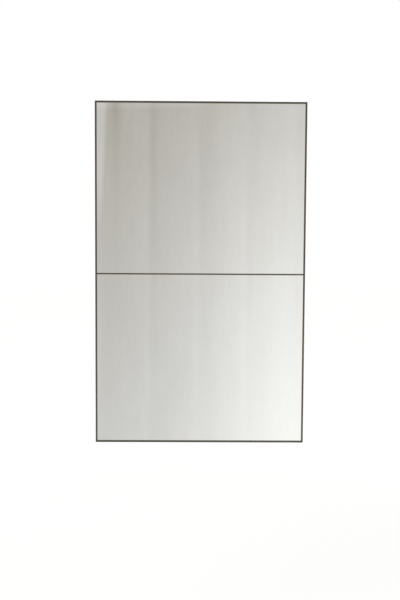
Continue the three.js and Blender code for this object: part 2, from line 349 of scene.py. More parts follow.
# Closed-cell foam, with painted shade darkening each cell towards the bottom of its pit
def closedFoam():
    look = {
        "cellsPerMetre": 2200,
        "pitShade": (0.55, 0.55, 0.52),
        "skin": {"colour": (0.76, 0.76, 0.73), "start": 0.0, "full": 0.7},
        "roughness": (0.95, 0.85),
        "relief": 0.1 * mm,
    }
    f = Finish("closed_foam")
    cells = f.node("TexVoronoi")
    f.feed(cells.inputs["Vector"], f.coords())
    f.feed(cells.inputs["Scale"], look["cellsPerMetre"])
    depth = cells.outputs["Distance"]
    # painted shade: the colour darkens towards each cell's lowest point, as its relief does
    colour = f.layer(look["pitShade"], depth, **look["skin"])
    return f.dress(0.0, colour, depth, look["roughness"], look["relief"])


bronze = bronzePatina()
silver = silveredGlass()
fibre = fibreBoard()
zinc = zincPlate()
aluminium = drawnAluminium()
rubber = blackRubber()
foam = closedFoam()
print("finishes made")

# The four mitred frame bars, one section turned to each side
bar = {
    "wall": 1.5 * mm,
    "lipWidth": 6.4 * mm,
    "lipThick": 3 * mm,
    "flangeWidth": 16 * mm,
    "flangeThick": 1.6 * mm,
    "edgeRadius": 0.45 * mm,
    "hairline": 0.15 * mm,  # each bar's share of the gap at a mitre
}
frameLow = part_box("frame_left")[0]
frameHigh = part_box("frame_right")[1]
frontDepth, backDepth = frameLow.y, frameHigh.y
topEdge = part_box("frame_top")[1].z
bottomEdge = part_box("frame_bottom")[0].z
middleHeight = (topEdge + bottomEdge) / 2
glassFront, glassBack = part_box("upper_mirror")[0].y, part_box("upper_mirror")[1].y
boardFront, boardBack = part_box("backing_board")[0].y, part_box("backing_board")[1].y


def frameOutline():
    flangeBack = boardBack + bar["flangeThick"]
    lipBack = frontDepth + bar["lipThick"]
    corners = [
        (frontDepth, 0),
        (backDepth, 0),
        (backDepth, bar["wall"]),
        (flangeBack, bar["wall"]),
        (flangeBack, bar["flangeWidth"]),
        (boardBack, bar["flangeWidth"]),
        (boardBack, bar["wall"]),
        (lipBack, bar["wall"]),
        (lipBack, bar["lipWidth"]),
        (frontDepth, bar["lipWidth"]),
    ]
    return roundOutline(corners, bar["edgeRadius"])


def makeFrame():
    wide = frameHigh.x - frameLow.x
    tall = topEdge - bottomEdge
    sides = {
        "frame_top": (wide, math.pi, (0, 0, topEdge)),
        "frame_bottom": (wide, 0.0, (0, 0, bottomEdge)),
        "frame_left": (tall, math.pi / 2, (frameLow.x, 0, middleHeight)),
        "frame_right": (tall, -math.pi / 2, (frameHigh.x, 0, middleHeight)),
    }
    for node, (length, turn, place) in sides.items():
        bm = sweepBar(frameOutline(), length - 2 * bar["hairline"], 1.0)
        turned = Matrix.Translation(place) @ Matrix.Rotation(turn, 4, "Y")
        bmesh.ops.transform(bm, matrix=turned, verts=bm.verts)
        addPiece(node + "_bar", toMesh(node + "_bar", bm), bronze, [node])


makeFrame()
print("frame made")

# The middle rail: a head over the joint, a web between the panes, a flange behind them
rail = {"headHeight": 5.6 * mm, "webHeight": 1.6 * mm, "edgeRadius": 0.35 * mm}


def makeRail():
    low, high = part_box("middle_rail")
    head, web, flange = rail["headHeight"] / 2, rail["webHeight"] / 2, (high.z - low.z) / 2
    half = [
        (low.y, head),
        (glassFront, head),
        (glassFront, web),
        (glassBack, web),
        (glassBack, flange),
        (boardFront, flange),
    ]
    corners = half + [(depth, -height) for depth, height in reversed(half)]
    bm = sweepBar(roundOutline(corners, rail["edgeRadius"]), high.x - low.x)
    bmesh.ops.translate(bm, verts=bm.verts, vec=(0, 0, (low.z + high.z) / 2))
    addPiece("middle_rail_strip", toMesh("middle_rail_strip", bm), bronze, ["middle_rail"])


makeRail()

# Two panes with ground arrises
pane = {"arris": 0.6 * mm, "sharpAngle": 10}


def makePanes():
    for node in ("upper_mirror", "lower_mirror"):
        low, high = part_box(node)
        bm = bmesh.new()
        bmesh.ops.create_cube(bm, size=1)
        bmesh.ops.scale(bm, verts=bm.verts, vec=high - low)
        bmesh.ops.translate(bm, verts=bm.verts, vec=(low + high) / 2)
        bmesh.ops.bevel(bm, geom=list(bm.edges), offset=pane["arris"], segments=1, affect="EDGES")
        mesh = toMesh(node + "_glass", bm, pane["sharpAngle"])
        addPiece(node + "_glass", mesh, silver, [node])


makePanes()
print("rail and panes made")

# CAD pieces whose shape is right keep it and only get their finish
plainNodes = {
    "backing_board": fibre,
    "gasket_": rubber,
    "setting_block_": rubber,
    "tape_": foam,
}


def dressPlainNodes():
    for start, material in plainNodes.items():
        for name, node in nodes.items():
            if name.startswith(start):
                node.data.materials.clear()
                node.data.materials.append(material)


dressPlainNodes()

# Corner plates: an L with rounded ends and broken edges
plate = {"legWidth": 12 * mm, "endRadius": 2.5 * mm, "brokenEdge": 0.3 * mm}


def makeCornerPlates():
    for side, x in (("left", -1), ("right", 1)):
        for end, z in (("bottom", -1), ("top", 1)):
            node = f"corner_plate_{end}_{side}"
            low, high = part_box(node)
            leg, width = high.x - low.x, plate["legWidth"]
            corners = [(0, 0), (leg, 0), (leg, width), (width, width), (width, leg), (0, leg)]
            outer = Vector((high.x if x > 0 else low.x, 0, high.z if z > 0 else low.z))
            bm = bmesh.new()
            ring = []
            for a, b, _ in roundOutline(corners, plate["endRadius"]):
                ring.append(bm.verts.new((outer.x - x * a, low.y, outer.z - z * b)))
            face = bm.faces.new(ring)
            grown = bmesh.ops.extrude_face_region(bm, geom=[face])["geom"]
            moved = [part for part in grown if isinstance(part, bmesh.types.BMVert)]
            bmesh.ops.translate(bm, verts=moved, vec=(0, high.y - low.y, 0))
            bmesh.ops.recalc_face_normals(bm, faces=bm.faces)
            rim = [edge for edge in bm.edges if edge.verts[0].co.y == edge.verts[1].co.y]
            bmesh.ops.bevel(bm, geom=rim, offset=plate["brokenEdge"], segments=2, affect="EDGES")
            addPiece(node + "_steel", toMesh(node + "_steel", bm), zinc, [node])


makeCornerPlates()

# Rubber bumpers: a tapered disc with a well for its screw, turned from a rounded outline
bumper = {
    "wellRadius": 4.5 * mm,
    "wellDepth": 5 * mm,
    "tipRadius": 9 * mm,
    "edgeRadius": 1.1 * mm,
    "tightest": 0.05 * mm,  # points nearer to the axis than this are left out
    "around": 64,
}


def makeBumpers():
    for side in ("left", "right"):
        node = "bumper_" + side
        low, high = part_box(node)
        centre = (low + high) / 2
        floorDepth = high.y - bumper["wellDepth"]
        corners = [
            (low.y, 0.0),
            (low.y, (high.x - low.x) / 2),
            (high.y, bumper["tipRadius"]),
            (high.y, bumper["wellRadius"]),
            (floorDepth, bumper["wellRadius"]),
            (floorDepth, 0.0),
        ]
        outline = roundOutline(corners, bumper["edgeRadius"])
        points = [(depth, radius) for depth, radius, _ in outline if radius > bumper["tightest"]]
        points = [(low.y, 0.0)] + points + [(floorDepth, 0.0)]
        bm = bmesh.new()
        wires = []
        for depth, radius in points:
            wires.append(bm.verts.new((centre.x + radius, depth, centre.z)))
        edges = [bm.edges.new(pair) for pair in zip(wires, wires[1:])]
        bmesh.ops.spin(
            bm,
            geom=wires + edges,
            cent=centre,
            axis=(0, 1, 0),
            angle=math.tau,
            steps=bumper["around"],
            use_merge=True,
        )
        bmesh.ops.remove_doubles(bm, verts=bm.verts, dist=weld)
        addPiece(node + "_rubber", toMesh(node + "_rubber", bm), rubber, [node])


makeBumpers()
print("plates and bumpers made")


# A Geometry Nodes tree being put together. Its sizes are named inputs with these defaults.
class Recipe:
    def __init__(self, name, sizes):
        self.tree = bpy.data.node_groups.new(name, "GeometryNodeTree")
        self.tree.interface.new_socket("Start", in_out="INPUT", socket_type="NodeSocketGeometry")
        self.ids = {}
        for key, value in sizes.items():
            kind = "NodeSocketInt" if isinstance(value, int) else "NodeSocketFloat"
            socket = self.tree.interface.new_socket(key, in_out="INPUT", socket_type=kind)
            socket.default_value = value
            self.ids[key] = socket.identifier
        self.tree.interface.new_socket("Made", in_out="OUTPUT", socket_type="NodeSocketGeometry")
        self.entry = self.tree.nodes.new("NodeGroupInput")
        self.start = self.entry.outputs["Start"]

    def size(self, *keys):
        if len(keys) == 1:
            return self.entry.outputs[keys[0]]
        return [self.entry.outputs[key] for key in keys]

    def node(self, kind, inputs=(), **settings):
        made = self.tree.nodes.new(kind)
        for key, value in settings.items():
            setattr(made, key, value)
        for key, value in dict(inputs).items():
            if isinstance(value, bpy.types.NodeSocket):
                self.tree.links.new(value, made.inputs[key])
            else:
                made.inputs[key].default_value = value
        return made

    def math(self, operation, *values):
        return self.node("ShaderNodeMath", dict(enumerate(values)), operation=operation).outputs[0]

    def times(self, *values):
        product = values[0]
        for value in values[1:]:
            product = self.math("MULTIPLY", product, value)
        return product

    def vector(self, x=0.0, y=0.0, z=0.0):
        return self.node("ShaderNodeCombineXYZ", {"X": x, "Y": y, "Z": z}).outputs[0]

    def position(self):
        here = self.node("GeometryNodeInputPosition").outputs[0]
        return self.node("ShaderNodeSeparateXYZ", {"Vector": here}).outputs

    def disc(self, corners, topRadius, bottomRadius, height, rings=1, sides=1):
        inputs = {
            "Vertices": corners,
            "Side Segments": sides,
            "Fill Segments": rings,
            "Radius Top": topRadius,
            "Radius Bottom": bottomRadius,
            "Depth": height,
        }
        return self.node("GeometryNodeMeshCone", inputs, fill_type="TRIANGLE_FAN").outputs["Mesh"]

    def lift(self, shape, height):
        inputs = {"Geometry": shape, "Translation": self.vector(z=height)}
        return self.node("GeometryNodeTransform", inputs).outputs[0]

    # Lowers the rim of a disc's top by crown, on a curve that stays flat in the middle
    def crowned(self, shape, radius, height, crown, topShare=0.99):
        x, y, z = self.position()
        squared = self.math("ADD", self.times(x, x), self.times(y, y))
        out = self.math("DIVIDE", squared, self.times(radius, radius))
        arc = self.math("SQRT", self.math("SUBTRACT", 1.0, self.times(out, out)))
        drop = self.math("SUBTRACT", 1.0, arc)
        isTop = self.math("GREATER_THAN", z, self.times(height, topShare))
        lowered = self.vector(z=self.times(drop, crown, isTop, -1.0))
        return self.node("GeometryNodeSetPosition", {"Geometry": shape, "Offset": lowered}).outputs[0]

    # A threaded rod from z = 0 down to -length, drawn to a blunt point at its end
    def threaded(self, radius, length, bluntness=0.12):
        pitch, depth, point = self.size("Thread Pitch", "Thread Depth", "Point Length")
        sides, rings = self.size("Thread Sides", "Thread Rings")
        rod = self.lift(self.disc(sides, radius, radius, length, sides=rings), self.times(length, -1.0))
        x, y, z = self.position()
        angle = self.math("DIVIDE", self.math("ARCTAN2", y, x), math.tau)
        phase = self.math("FRACT", self.math("ADD", self.math("DIVIDE", z, pitch), angle))
        ridge = self.times(self.math("ABSOLUTE", self.math("SUBTRACT", phase, 0.5)), 2.0)
        cut = self.math("SUBTRACT", 1.0, self.times(ridge, depth))
        fromEnd = self.math("DIVIDE", self.math("ADD", z, length), point)
        scale = self.times(cut, self.math("MINIMUM", self.math("ADD", fromEnd, bluntness), 1.0))
        place = self.vector(self.times(x, scale), self.times(y, scale), z)
        return self.node("GeometryNodeSetPosition", {"Geometry": rod, "Position": place}).outputs[0]

    def cut(self, shape, *cutters, operation="DIFFERENCE"):
        made = self.node("GeometryNodeMeshBoolean", operation=operation, solver="EXACT")
        first = "Mesh 1" if operation == "DIFFERENCE" else "Mesh 2"
        self.tree.links.new(shape, made.inputs[first])
        for cutter in cutters:
            self.tree.links.new(cutter, made.inputs["Mesh 2"])
        return made.outputs["Mesh"]

    def join(self, *shapes):
        made = self.node("GeometryNodeJoinGeometry")
        for shape in shapes:
            self.tree.links.new(shape, made.inputs[0])
        return made.outputs[0]

    # Sets the shape on every point with its axis along +Y (facing 1) or -Y (facing -1)
    def scatter(self, points, shape, facing=1.0, seed=None):
        turn = 0.0
        if seed is not None:
            limits = {"Max": math.tau, "Seed": seed}
            turn = self.node("FunctionNodeRandomValue", limits, data_type="FLOAT").outputs[1]
        quarter = self.times(facing, -math.pi / 2)
        turned = self.node("FunctionNodeEulerToRotation", {"Euler": self.vector(quarter, turn)}).outputs[0]
        inputs = {"Points": points, "Instance": shape, "Rotation": turned}
        return self.node("GeometryNodeInstanceOnPoints", inputs).outputs[0]

    # Ends a recipe: one welded mesh, smooth but for its sharp edges, in its finish
    def close(self, shape, material, sharpAngle=32):
        real = self.node("GeometryNodeRealizeInstances", {"Geometry": shape}).outputs[0]
        real = self.node("GeometryNodeMergeByDistance", {"Geometry": real, "Distance": weld}).outputs[0]
        angle = self.node("GeometryNodeInputMeshEdgeAngle").outputs["Unsigned Angle"]
        sharp = self.math("GREATER_THAN", angle, math.radians(sharpAngle))
        smooth = self.node("GeometryNodeSetShadeSmooth", {"Geometry": real}, domain="FACE").outputs[0]
        inputs = {"Geometry": smooth, "Selection": sharp, "Shade Smooth": False}
        edged = self.node("GeometryNodeSetShadeSmooth", inputs, domain="EDGE").outputs[0]
        painted = self.node("GeometryNodeSetMaterial", {"Geometry": edged, "Material": material}).outputs[0]
        leave = self.tree.nodes.new("NodeGroupOutput")
        self.tree.links.new(painted, leave.inputs["Made"])
        return self


def pointMesh(name, places):
    mesh = bpy.data.meshes.new(name)
    mesh.from_pydata(places, [], [])
    return mesh


# Runs a recipe on a start mesh and keeps the result as a plain mesh
def grow(name, recipe, start, sizes=()):
    holder = bpy.data.objects.new(name + "_start", start)
    bpy.context.scene.collection.objects.link(holder)
    modifier = holder.modifiers.new("recipe", "NODES")
    modifier.node_group = recipe.tree
    for key, value in dict(sizes).items():
        modifier[recipe.ids[key]] = value
    evaluated = holder.evaluated_get(bpy.context.evaluated_depsgraph_get())
    mesh = bpy.data.meshes.new_from_object(evaluated)
    mesh.name = name
    bpy.data.objects.remove(holder)
    return mesh


def namesFrom(start):
    return sorted(node for node in nodes if node.startswith(start))


def centresOf(names, depth):
    places = []
    for name in names:
        low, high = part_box(name)
        places.append(((low.x + high.x) / 2, depth(low, high), (low.z + high.z) / 2))
    return places


# Screws with a cross recess. Crown makes the head a pan, a smaller under radius makes it sunk.
screw = {
    "Head Sides": 32,
    "Head Rings": 6,
    "Head Radius": 3.4 * mm,
    "Under Radius": 3.4 * mm,
    "Head Height": 1.8 * mm,
    "Crown": 1.1 * mm,
    "Shank Radius": 1.6 * mm,
    "Shank Length": 8.6 * mm,
    "Shank Inside": 0.4 * mm,  # how far it reaches up into the head
    "Thread Pitch": 1.2 * mm,
    "Thread Depth": 0.28,
    "Thread Sides": 16,
    "Thread Rings": 40,
    "Point Length": 2.5 * mm,
    "Recess Arm": 1.75 * mm,
    "Recess Width": 0.75 * mm,
    "Recess Depth": 1.1 * mm,
    "Recess Taper": 0.45,
    "Turn Seed": 3,
}
sunkScrew = {
    "Head Radius": 4 * mm,
    "Under Radius": 2.1 * mm,
    "Head Height": 2.2 * mm,
    "Crown": 0.12 * mm,
    "Shank Radius": 2 * mm,
    "Shank Length": 8.3 * mm,
    "Recess Arm": 2.3 * mm,
    "Recess Width": 0.95 * mm,
    "Recess Depth": 1.4 * mm,
    "Turn Seed": 8,
}
screwKinds = {
    "frame_screws": {"start": "screw_", "sizes": {}, "below": 0.0},
    "cleat_screws": {"start": "cleat_screw_", "sizes": sunkScrew, "below": 0.2 * mm},
    "bumper_screws": {
        "start": "bumper_screw_",
        "sizes": {"Shank Length": 14 * mm, "Turn Seed": 5},
        "below": 0.0,
    },
}


def screwRecipe():
    r = Recipe("cross_screw", screw)
    radius, height, crown = r.size("Head Radius", "Head Height", "Crown")
    blank = r.disc(r.size("Head Sides"), radius, r.size("Under Radius"), height, r.size("Head Rings"))
    head = r.crowned(blank, radius, height, crown)
    # Each slot's box is centred on the axis and on the head's top, so it is twice as long and deep
    width, deep = r.size("Recess Width"), r.times(r.size("Recess Depth"), 2.0)
    long = r.times(r.size("Recess Arm"), 2.0)
    slots = []
    for across, along in ((long, width), (width, long)):
        slotBox = r.node("GeometryNodeMeshCube", {"Size": r.vector(across, along, deep)}).outputs["Mesh"]
        x, y, z = r.position()
        isLow = r.math("LESS_THAN", z, 0.0)
        narrow = r.math("SUBTRACT", 1.0, r.times(isLow, r.size("Recess Taper")))
        inputs = {"Geometry": slotBox, "Position": r.vector(r.times(x, narrow), r.times(y, narrow), z)}
        tapered = r.node("GeometryNodeSetPosition", inputs).outputs[0]
        slots.append(r.lift(tapered, height))
    head = r.cut(head, *slots)
    length, inside = r.size("Shank Length", "Shank Inside")
    shank = r.lift(r.threaded(r.size("Shank Radius"), r.math("ADD", length, inside)), inside)
    return r.close(r.scatter(r.start, r.join(head, shank), 1.0, r.size("Turn Seed")), zinc)


def makeScrews():
    recipe = screwRecipe()
    for name, kind in screwKinds.items():
        replaced = namesFrom(kind["start"])
        headHeight = kind["sizes"].get("Head Height", screw["Head Height"]) + kind["below"]
        places = centresOf(replaced, lambda low, high: high.y - headHeight)
        mesh = grow(name, recipe, pointMesh(name, places), kind["sizes"])
        addPiece(name, mesh, zinc, replaced)


makeScrews()
print("screws made")

# Nuts and washers on the rail's studs: a six-cornered or round blank, crowned and bored
ring = {
    "Corners": 6,
    "Radius": 4 * mm,
    "Height": 3 * mm,
    "Crown": 0.5 * mm,
    "Crown Sides": 60,
    "Crown Rings": 12,
    "Bore": 2.05 * mm,
    "Bore Sides": 40,
    "Margin": 1.01,  # how far the crown's arc reaches past the blank
}
ringKinds = {
    "rail_nuts": {"start": "rail_nut_", "sizes": {}},
    "rail_washers": {
        "start": "rail_washer_",
        "sizes": {"Corners": 60, "Radius": 6 * mm, "Height": 1 * mm, "Crown": 0.3 * mm},
    },
}


def ringRecipe():
    r = Recipe("nut_or_washer", ring)
    radius, height, bore = r.size("Radius", "Height", "Bore")
    # The dome starts below the blank and the drill passes both its ends, so that no faces coincide
    tall, down = r.times(height, 2.0), r.times(height, -1.0)
    blank = r.disc(r.size("Corners"), radius, radius, tall)
    outer = r.times(radius, r.size("Margin"))
    dome = r.disc(r.size("Crown Sides"), outer, outer, tall, r.size("Crown Rings"))
    dome = r.lift(r.crowned(dome, outer, tall, r.size("Crown")), down)
    drill = r.lift(r.disc(r.size("Bore Sides"), bore, bore, r.times(height, 3.0)), down)
    shape = r.cut(r.cut(blank, dome, operation="INTERSECT"), drill)
    return r.close(r.scatter(r.start, shape), zinc)


def makeRailFasteners():
    recipe = ringRecipe()
    for name, kind in ringKinds.items():
        replaced = namesFrom(kind["start"])
        places = centresOf(replaced, lambda low, high: low.y)
        mesh = grow(name, recipe, pointMesh(name, places), kind["sizes"])
        addPiece(name, mesh, zinc, replaced)


makeRailFasteners()

stud = {
    "Radius": 2 * mm,
    "Length": 14 * mm,
    "Thread Pitch": 0.7 * mm,
    "Thread Depth": 0.16,
    "Thread Sides": 20,
    "Thread Rings": 100,
    "Point Length": 0.6 * mm,
}


def makeStuds():
    r = Recipe("threaded_stud", stud)
    rod = r.threaded(*r.size("Radius", "Length"))
    recipe = r.close(r.scatter(r.start, rod, -1.0), zinc)
    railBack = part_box("middle_rail")[1].y
    places = centresOf(namesFrom("rail_nut_"), lambda *_: railBack - stud["Length"])
    mesh = grow("rail_studs", recipe, pointMesh("rail_studs", places))
    addPiece("rail_studs", mesh, zinc, ["middle_rail"])


makeStuds()
print("rail fasteners made")

# Cleats: a Z section swept along X, with countersunk holes along its base
cleat = {"thick": 2.5 * mm, "base": 32 * mm, "edgeRadius": 0.4 * mm}
holes = {
    "Holes": 4,
    "Spacing": 180 * mm,
    "Hole Radius": 2.75 * mm,
    "Sink Radius": 5 * mm,
    "Sides": 48,
    "Facing": -1.0,
    "Depth": 0.0,
    "Height": 0.0,
    "Proud": 0.002,  # share of the countersink that stands clear of the face
    "Tip": 0.5,  # its narrow end, as a share of the hole's radius
    "Reach": 2.0,  # how far the drill goes each way, in sink radii
}
screwHoles = {"Spacing": 140 * mm, "Hole Radius": 2.2 * mm, "Sink Radius": 4.2 * mm, "Facing": 1.0}


def drilledRecipe():
    r = Recipe("drilled_strip", holes)
    count, spacing, sides = r.size("Holes", "Spacing", "Sides")
    spread = r.times(r.math("SUBTRACT", count, 1.0), spacing)
    first = r.vector(r.times(spread, -0.5), r.size("Depth"), r.size("Height"))
    inputs = {"Count": count, "Start Location": first, "Offset": r.vector(spacing)}
    line = r.node("GeometryNodeMeshLine", inputs).outputs["Mesh"]
    hole, sink = r.size("Hole Radius", "Sink Radius")
    tip, reach = r.times(hole, r.size("Tip")), r.times(sink, r.size("Reach"))
    deep = r.math("SUBTRACT", sink, tip)
    drill = r.lift(r.disc(sides, hole, hole, r.times(reach, 2.0)), r.times(reach, -1.0))
    under = r.times(deep, r.math("SUBTRACT", r.size("Proud"), 1.0))
    cone = r.lift(r.disc(sides, sink, tip, deep), under)
    cutters = []
    for cutter in (drill, cone):
        placed = r.scatter(line, cutter, r.size("Facing"))
        cutters.append(r.node("GeometryNodeRealizeInstances", {"Geometry": placed}).outputs[0])
    # In triangles, as the weld would close the holes in a large face
    inputs = {"Mesh": r.cut(r.start, *cutters)}
    return r.close(r.node("GeometryNodeTriangulate", inputs).outputs["Mesh"], aluminium)


def cleatOutline(base, lipFace, baseEnd, lipEnd):
    outward = math.copysign(cleat["thick"], lipFace - base)
    onward = math.copysign(1, lipEnd - baseEnd)
    stepFar = baseEnd + onward * cleat["base"]
    stepNear = stepFar - onward * cleat["thick"]
    corners = [
        (base, baseEnd),
        (base, stepFar),
        (lipFace - outward, stepFar),
        (lipFace - outward, lipEnd),
        (lipFace, lipEnd),
        (lipFace, stepNear),
        (base + outward, stepNear),
        (base + outward, baseEnd),
    ]
    return roundOutline(corners, cleat["edgeRadius"])


def makeCleats():
    recipe = drilledRecipe()
    wallLow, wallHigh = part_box("wall_cleat")
    low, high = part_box("frame_cleat")
    screws = namesFrom("cleat_screw_")
    screwLow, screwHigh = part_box(screws[0])
    kinds = {
        "wall_cleat": {
            "outline": cleatOutline(wallHigh.y, wallLow.y, wallLow.z, wallHigh.z),
            "sizes": {"Depth": wallHigh.y - cleat["thick"]},
            "body": "wall_cleat",
        },
        "frame_cleat": {
            "outline": cleatOutline(low.y, high.y, high.z, low.z),
            "sizes": {
                **screwHoles,
                "Holes": len(screws),
                "Depth": low.y + cleat["thick"],
                "Height": (screwLow.z + screwHigh.z) / 2,
            },
            "body": "mirror",
        },
    }
    for node, kind in kinds.items():
        strip = toMesh(node + "_strip", sweepBar(kind["outline"], wallHigh.x - wallLow.x))
        mesh = grow(node + "_drawn", recipe, strip, kind["sizes"])
        addPiece(node + "_drawn", mesh, aluminium, [node], kind["body"])


makeCleats()
print("cleats made")

# The camera stands where the photograph was taken: a little left of the middle, tilted slightly down
shot = {
    "place": (-0.0357, -3.205, -0.3505),
    "yaw": 0.634,
    "pitch": 3.931,
    "roll": 0.324,
    "lens": 50,
    "sensor": 36,
}


def makeCamera():
    data = bpy.data.cameras.new("camera")
    data.lens = shot["lens"]
    data.sensor_fit = "AUTO"
    data.sensor_width = shot["sensor"]
    camera = bpy.data.objects.new("camera", data)
    bpy.context.scene.collection.objects.link(camera)
    yaw, pitch, roll = (math.radians(shot[key]) for key in ("yaw", "pitch", "roll"))
    ahead = Vector((math.sin(yaw) * math.cos(pitch), math.cos(yaw) * math.cos(pitch), -math.sin(pitch)))
    level = Vector((math.cos(yaw), -math.sin(yaw), 0))
    upright = level.cross(ahead)
    right = math.cos(roll) * level + math.sin(roll) * upright
    up = math.cos(roll) * upright - math.sin(roll) * level
    turn = Matrix((right, up, -ahead)).transposed()
    camera.matrix_world = Matrix.Translation(shot["place"]) @ turn.to_4x4()
    bpy.context.scene.camera = camera


makeCamera()

# The room that the glass shows is painted light: an emitting dome, seen only in reflections, painted as a
# plain wall of upright boards with painted daylight low on the right and painted shade.
# Places are shares of the mirror's width and height, as the camera sees them in it.
paintedRoom = {
    "centre": (0.0, 0.0, -0.47),
    "radius": 8.0,
    "segments": 96,
    "shade": 0.409,  # how bright the wall is at the top left
    "fall": 0.170,  # how much brighter it gets towards the floor
    "fallEnds": (-0.5, 1.3),
    "daylight": {"place": (1.025, 1.123), "spread": (0.531, 1.249), "bright": 0.364},
    "boardWidth": 0.2296,
    "boardStart": 0.0433,
    "boardShade": 0.018,  # each board darkens towards its left edge
    "boardEdge": 0.12,  # share of a board over which it turns to the next one's shade
    # painted light: a pale band down the left edge and one along the top, both strongest towards the top
    # left
    "paleLeftBand": {"edge": 0.0605, "lean": -0.094, "soft": 0.013, "fade": (0.44, 0.14), "bright": 0.108},
    "paleTopBand": {"edge": 0.024, "lean": -0.020, "soft": 0.008, "fade": (0.70, 0.35), "bright": 0.045},
    "spots": (  # painted soft shadows and painted pale streaks of light down the boards
        {"place": (0.102, 0.00), "spread": (0.026, 0.30), "bright": -0.035},
        {"place": (0.102, 0.00), "spread": (0.024, 0.06), "bright": -0.045},
        {"place": (0.276, 0.00), "spread": (0.022, 0.45), "bright": -0.030},
        {"place": (0.530, 0.15), "spread": (0.040, 0.55), "bright": -0.014},
        {"place": (0.790, 0.30), "spread": (0.050, 0.50), "bright": -0.008},
        {"place": (0.406, 0.86), "spread": (0.050, 0.10), "bright": -0.014},
        {"place": (0.244, 0.60), "spread": (0.014, 0.70), "bright": 0.010},
        {"place": (0.487, 0.60), "spread": (0.014, 0.70), "bright": 0.010},
        {"place": (0.717, 0.60), "spread": (0.014, 0.70), "bright": 0.010},
    ),
    "streaks": (  # painted lighter and darker streaks of light, drawn out upright
        {"perMetre": 7, "stretch": (1, 1, 0.14), "detail": 2.0, "bright": 0.05},
        {"perMetre": 32, "stretch": (1, 1, 0.10), "detail": 2.0, "bright": 0.035},
    ),
    "dusk": (1.098, 1.019, 0.897),
    "day": (1.021, 1.011, 0.983),
    "dayFrom": (0.32, 0.41, 0.63),  # share of day light at the top left, then added across and down
    "dayInGlow": 3.5,  # how much cooler the pale places are, and how much warmer the shadows
    "silver": 0.932,  # what the glass keeps of it
}


# Where a ray from the camera, mirrored in the glass at (x, z), meets the painted room
def seenAt(x, z):
    start = Vector(shot["place"])
    point = Vector((x, glassFront, z))
    ahead = (point - start).normalized()
    ahead.y = -ahead.y
    away = point - Vector(paintedRoom["centre"])
    half = away.dot(ahead)
    reach = -half + math.sqrt(half * half - away.length_squared + paintedRoom["radius"] ** 2)
    return point + ahead * reach


# How far across and down the mirror the camera sees a place on the wall
def wallPlace(f):
    split = f.node("SeparateXYZ")
    f.feed(split.inputs[0], f.coords())
    left, right = seenAt(frameLow.x, middleHeight).x, seenAt(frameHigh.x, middleHeight).x
    top, bottom = seenAt(0, topEdge).z, seenAt(0, bottomEdge).z
    across = f.span(split.outputs["X"], left, right)
    down = f.span(split.outputs["Z"], top, bottom)
    for place in (across, down):
        place.node.clamp = False
    return across, down


def boardShading(f, across):
    along = f.math("DIVIDE", f.math("SUBTRACT", across, paintedRoom["boardStart"]), paintedRoom["boardWidth"])
    share = f.math("FRACT", along)
    edge = paintedRoom["boardEdge"]
    rise = f.math("DIVIDE", share, 1 - edge)
    drop = f.math("DIVIDE", f.math("SUBTRACT", 1.0, share), edge)
    ramp = f.math("MINIMUM", rise, drop)
    return f.math("MULTIPLY", f.math("SUBTRACT", ramp, 0.5), paintedRoom["boardShade"])


# A paler area of painted light that ends on a slanting edge and fades away along it
def paleArea(f, area, place, other):
    edge = f.math("MULTIPLY_ADD", other, area["lean"], area["edge"])
    inside = f.math("SUBTRACT", edge, place)
    shape = f.span(inside, -area["soft"], area["soft"], smooth=True)
    return f.math("MULTIPLY", shape, f.span(other, *area["fade"], 0.0, area["bright"], smooth=True))


def softSpot(f, spot, across, down):
    return f.math("MULTIPLY", f.spot((across, down), spot["place"], spot["spread"]), spot["bright"])


def sumOf(f, values):
    total = 0.0
    for value in values:
        total = f.math("ADD", value, total)
    return total


# Painted light for the glass to reflect: the wall's shade, daylight, shadows and streaks are all emission,
# brighter or darker by place
def roomLight():
    f = Finish("room_light")
    across, down = wallPlace(f)
    lowest, highest = paintedRoom["fallEnds"]
    fall = f.math("MULTIPLY", f.math("MINIMUM", f.math("MAXIMUM", down, lowest), highest), paintedRoom["fall"])
    glow = sumOf(f, [
        paleArea(f, paintedRoom["paleLeftBand"], across, down),
        paleArea(f, paintedRoom["paleTopBand"], down, across),
        *(softSpot(f, spot, across, down) for spot in paintedRoom["spots"]),
    ])
    streaks = []
    for streak in paintedRoom["streaks"]:
        noise = f.pattern(streak["perMetre"], streak["stretch"], streak["detail"])
        streaks.append(f.math("MULTIPLY", f.math("SUBTRACT", noise, 0.5), streak["bright"]))
    daylight = softSpot(f, paintedRoom["daylight"], across, down)
    light = sumOf(f, [paintedRoom["shade"], fall, boardShading(f, across), daylight, glow, *streaks])
    early, acrossShare, downShare = paintedRoom["dayFrom"]
    day = f.math("MULTIPLY_ADD", across, acrossShare, f.math("MULTIPLY_ADD", down, downShare, early))
    day = f.math("MULTIPLY_ADD", glow, paintedRoom["dayInGlow"], day)
    tint = f.mix(f.math("MAXIMUM", f.math("MINIMUM", day, 1.0), 0.0), paintedRoom["dusk"], paintedRoom["day"])
    shine = f.node("Emission")
    f.feed(shine.inputs["Color"], tint)
    f.feed(shine.inputs["Strength"], f.math("DIVIDE", light, paintedRoom["silver"]))
    f.feed(f.output.inputs["Surface"], shine.outputs[0])
    f.material.cycles.emission_sampling = "NONE"
    return f.material


